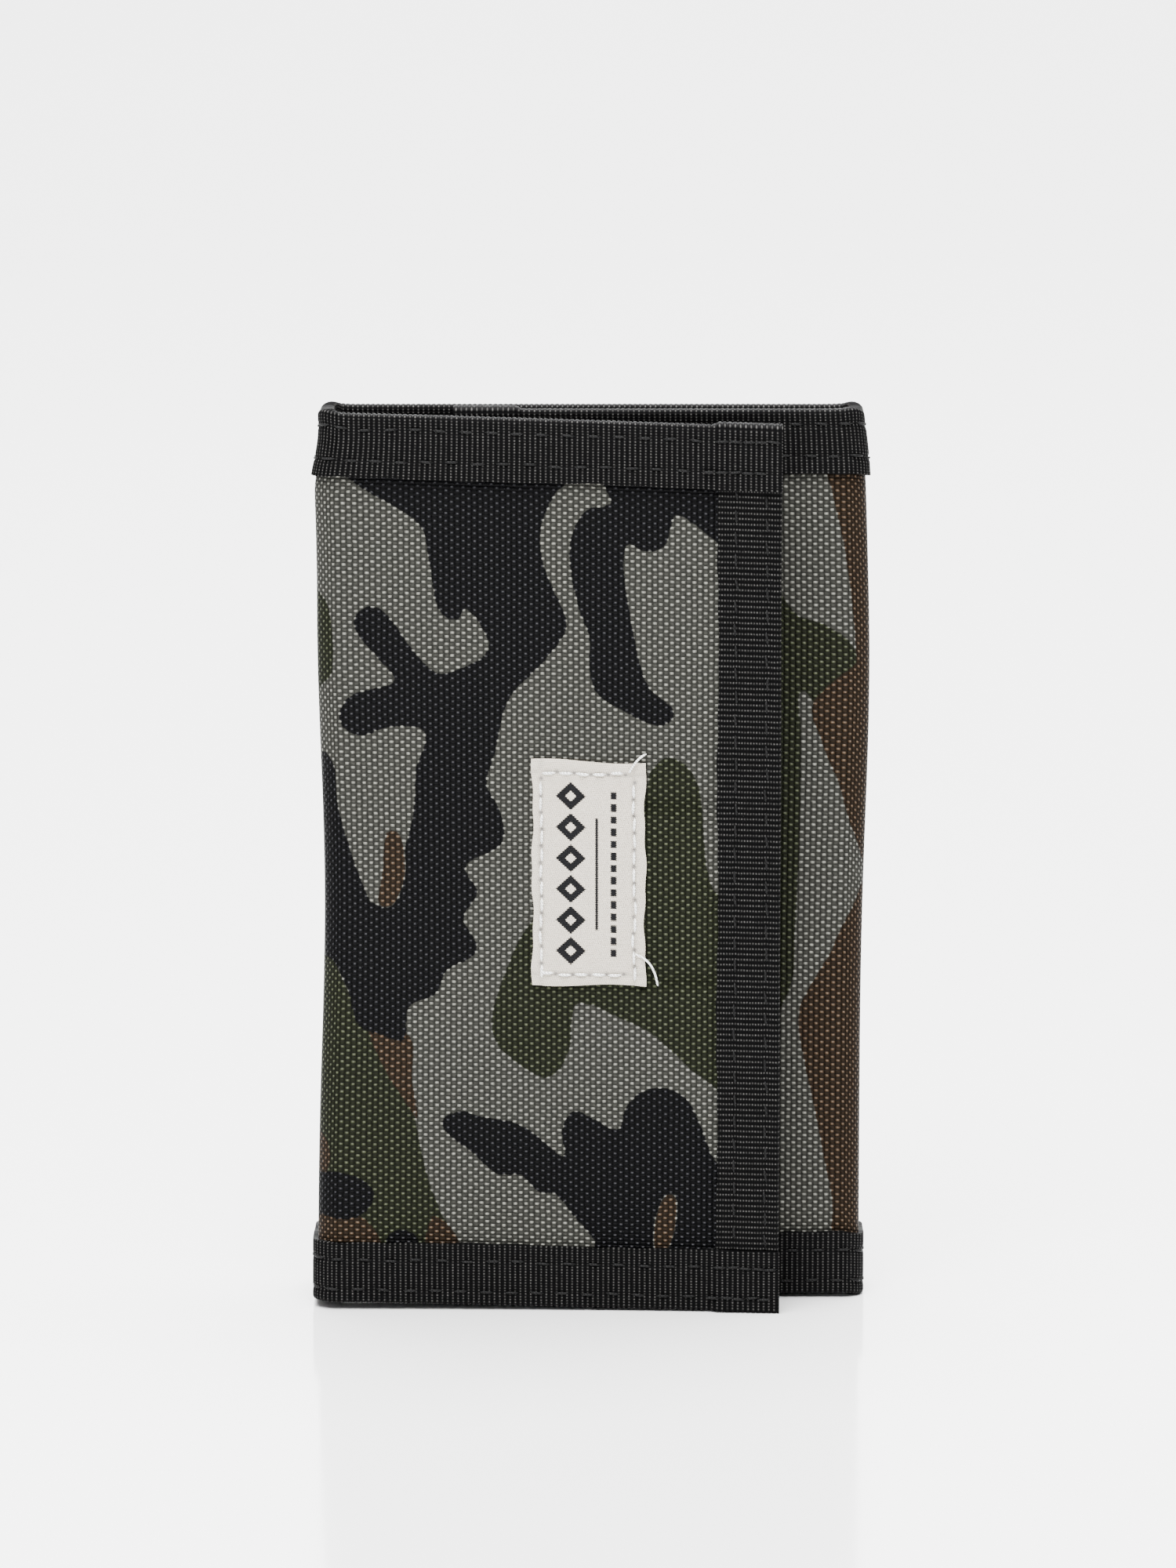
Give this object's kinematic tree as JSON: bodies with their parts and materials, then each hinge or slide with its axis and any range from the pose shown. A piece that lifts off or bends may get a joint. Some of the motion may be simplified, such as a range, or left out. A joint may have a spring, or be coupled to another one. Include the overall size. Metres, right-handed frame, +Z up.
{
  "type": "trifold wallet",
  "caption": "Fabric trifold wallet with bound edges, hook-and-loop closing, card pockets, card window and zipped coin pocket, stored folded shut.",
  "frame": {"origin": "centre of the bottom edge of the folded wallet, halfway through its thickness", "axes": "+Z up along the folds, +X to the right seen from the front, the front flap faces -Y"},
  "size_m": [0.076, 0.0188, 0.125],
  "materials": {
    "printed_cloth": "coated oxford cloth, woodland print",
    "grosgrain_binding": "black ribbed grosgrain",
    "pocket_binding": "black fine ribbed tape",
    "lining_cloth": "black plain weave nylon",
    "pocket_cloth": "black plain weave nylon",
    "clear_sheet": "clear flexible vinyl",
    "label_cloth": "cream twill-woven label",
    "hook_tape": "black hook tape",
    "loop_tape": "black brushed loop tape",
    "zip_tape": "black herringbone zip tape",
    "zip_teeth": "black moulded teeth",
    "slider_metal": "black enamelled metal"
  },
  "bodies": {
    "back_panel": {"back_shell": "printed_cloth", "back_top_binding": "grosgrain_binding", "back_bottom_binding": "grosgrain_binding", "back_lining": "lining_cloth", "back_lining_binding": "pocket_binding", "rear_card_pocket": "pocket_cloth", "rear_pocket_binding": "pocket_binding", "middle_card_pocket": "pocket_cloth", "middle_pocket_binding": "pocket_binding", "front_card_pocket": "pocket_cloth", "front_pocket_binding": "pocket_binding"},
    "left_spine": {"left_spine_shell": "printed_cloth", "left_spine_top_binding": "grosgrain_binding", "left_spine_bottom_binding": "grosgrain_binding", "left_spine_lining": "lining_cloth"},
    "front_flap": {"front_shell": "printed_cloth", "front_top_binding": "grosgrain_binding", "front_bottom_binding": "grosgrain_binding", "front_end_binding": "grosgrain_binding", "front_lining": "lining_cloth", "woven_label": "label_cloth", "hook_strip": "hook_tape", "coin_pocket_panel": "pocket_cloth", "coin_pocket_edge": "pocket_cloth", "coin_pocket_gusset": "pocket_cloth", "zip_tape_left": "zip_tape", "zip_tape_right": "zip_tape", "zip_teeth_left": "zip_teeth", "zip_teeth_right": "zip_teeth", "zip_bottom_stop": "slider_metal"},
    "right_spine": {"right_spine_shell": "printed_cloth", "right_spine_top_binding": "grosgrain_binding", "right_spine_bottom_binding": "grosgrain_binding", "right_spine_lining": "lining_cloth"},
    "inner_flap": {"inner_shell": "printed_cloth", "inner_top_binding": "grosgrain_binding", "inner_bottom_binding": "grosgrain_binding", "inner_end_binding": "grosgrain_binding", "inner_lining": "lining_cloth", "loop_strip": "loop_tape", "id_window": "clear_sheet", "id_window_frame": "pocket_cloth"},
    "zip_slider": {"zip_slider": "slider_metal"},
    "zip_pull": {"zip_pull": "slider_metal"}
  },
  "joints": [
    {"name": "left_spine_fold", "type": "hinge", "parent": "back_panel", "child": "left_spine", "pos_m": [-0.0373, 0.00875, 0], "axis": [0, 0, -1], "range_deg": [0, 90]},
    {"name": "front_flap_fold", "type": "hinge", "parent": "left_spine", "child": "front_flap", "pos_m": [-0.0373, -0.00875, 0], "axis": [0, 0, -1], "range_deg": [0, 90]},
    {"name": "right_spine_fold", "type": "hinge", "parent": "back_panel", "child": "right_spine", "pos_m": [0.0373, 0.00875, 0], "axis": [0, 0, 1], "range_deg": [0, 90]},
    {"name": "inner_flap_fold", "type": "hinge", "parent": "right_spine", "child": "inner_flap", "pos_m": [0.0373, -0.00165, 0], "axis": [0, 0, 1], "range_deg": [0, 90]},
    {"name": "zip_slide", "type": "slide", "parent": "front_flap", "child": "zip_slider", "axis": [0, 0, 1], "range_m": [0, 0.076]},
    {"name": "pull_swing", "type": "hinge", "parent": "zip_slider", "child": "zip_pull", "pos_m": [-0.025, -0.00305, 0.0256], "axis": [1, 0, 0], "range_deg": [0, 22]}
  ],
  "couplings": [
    {"joint": "front_flap_fold", "follows": "left_spine_fold", "ratio": 1},
    {"joint": "right_spine_fold", "follows": "left_spine_fold", "ratio": 0.5},
    {"joint": "inner_flap_fold", "follows": "left_spine_fold", "ratio": 0.5}
  ]
}
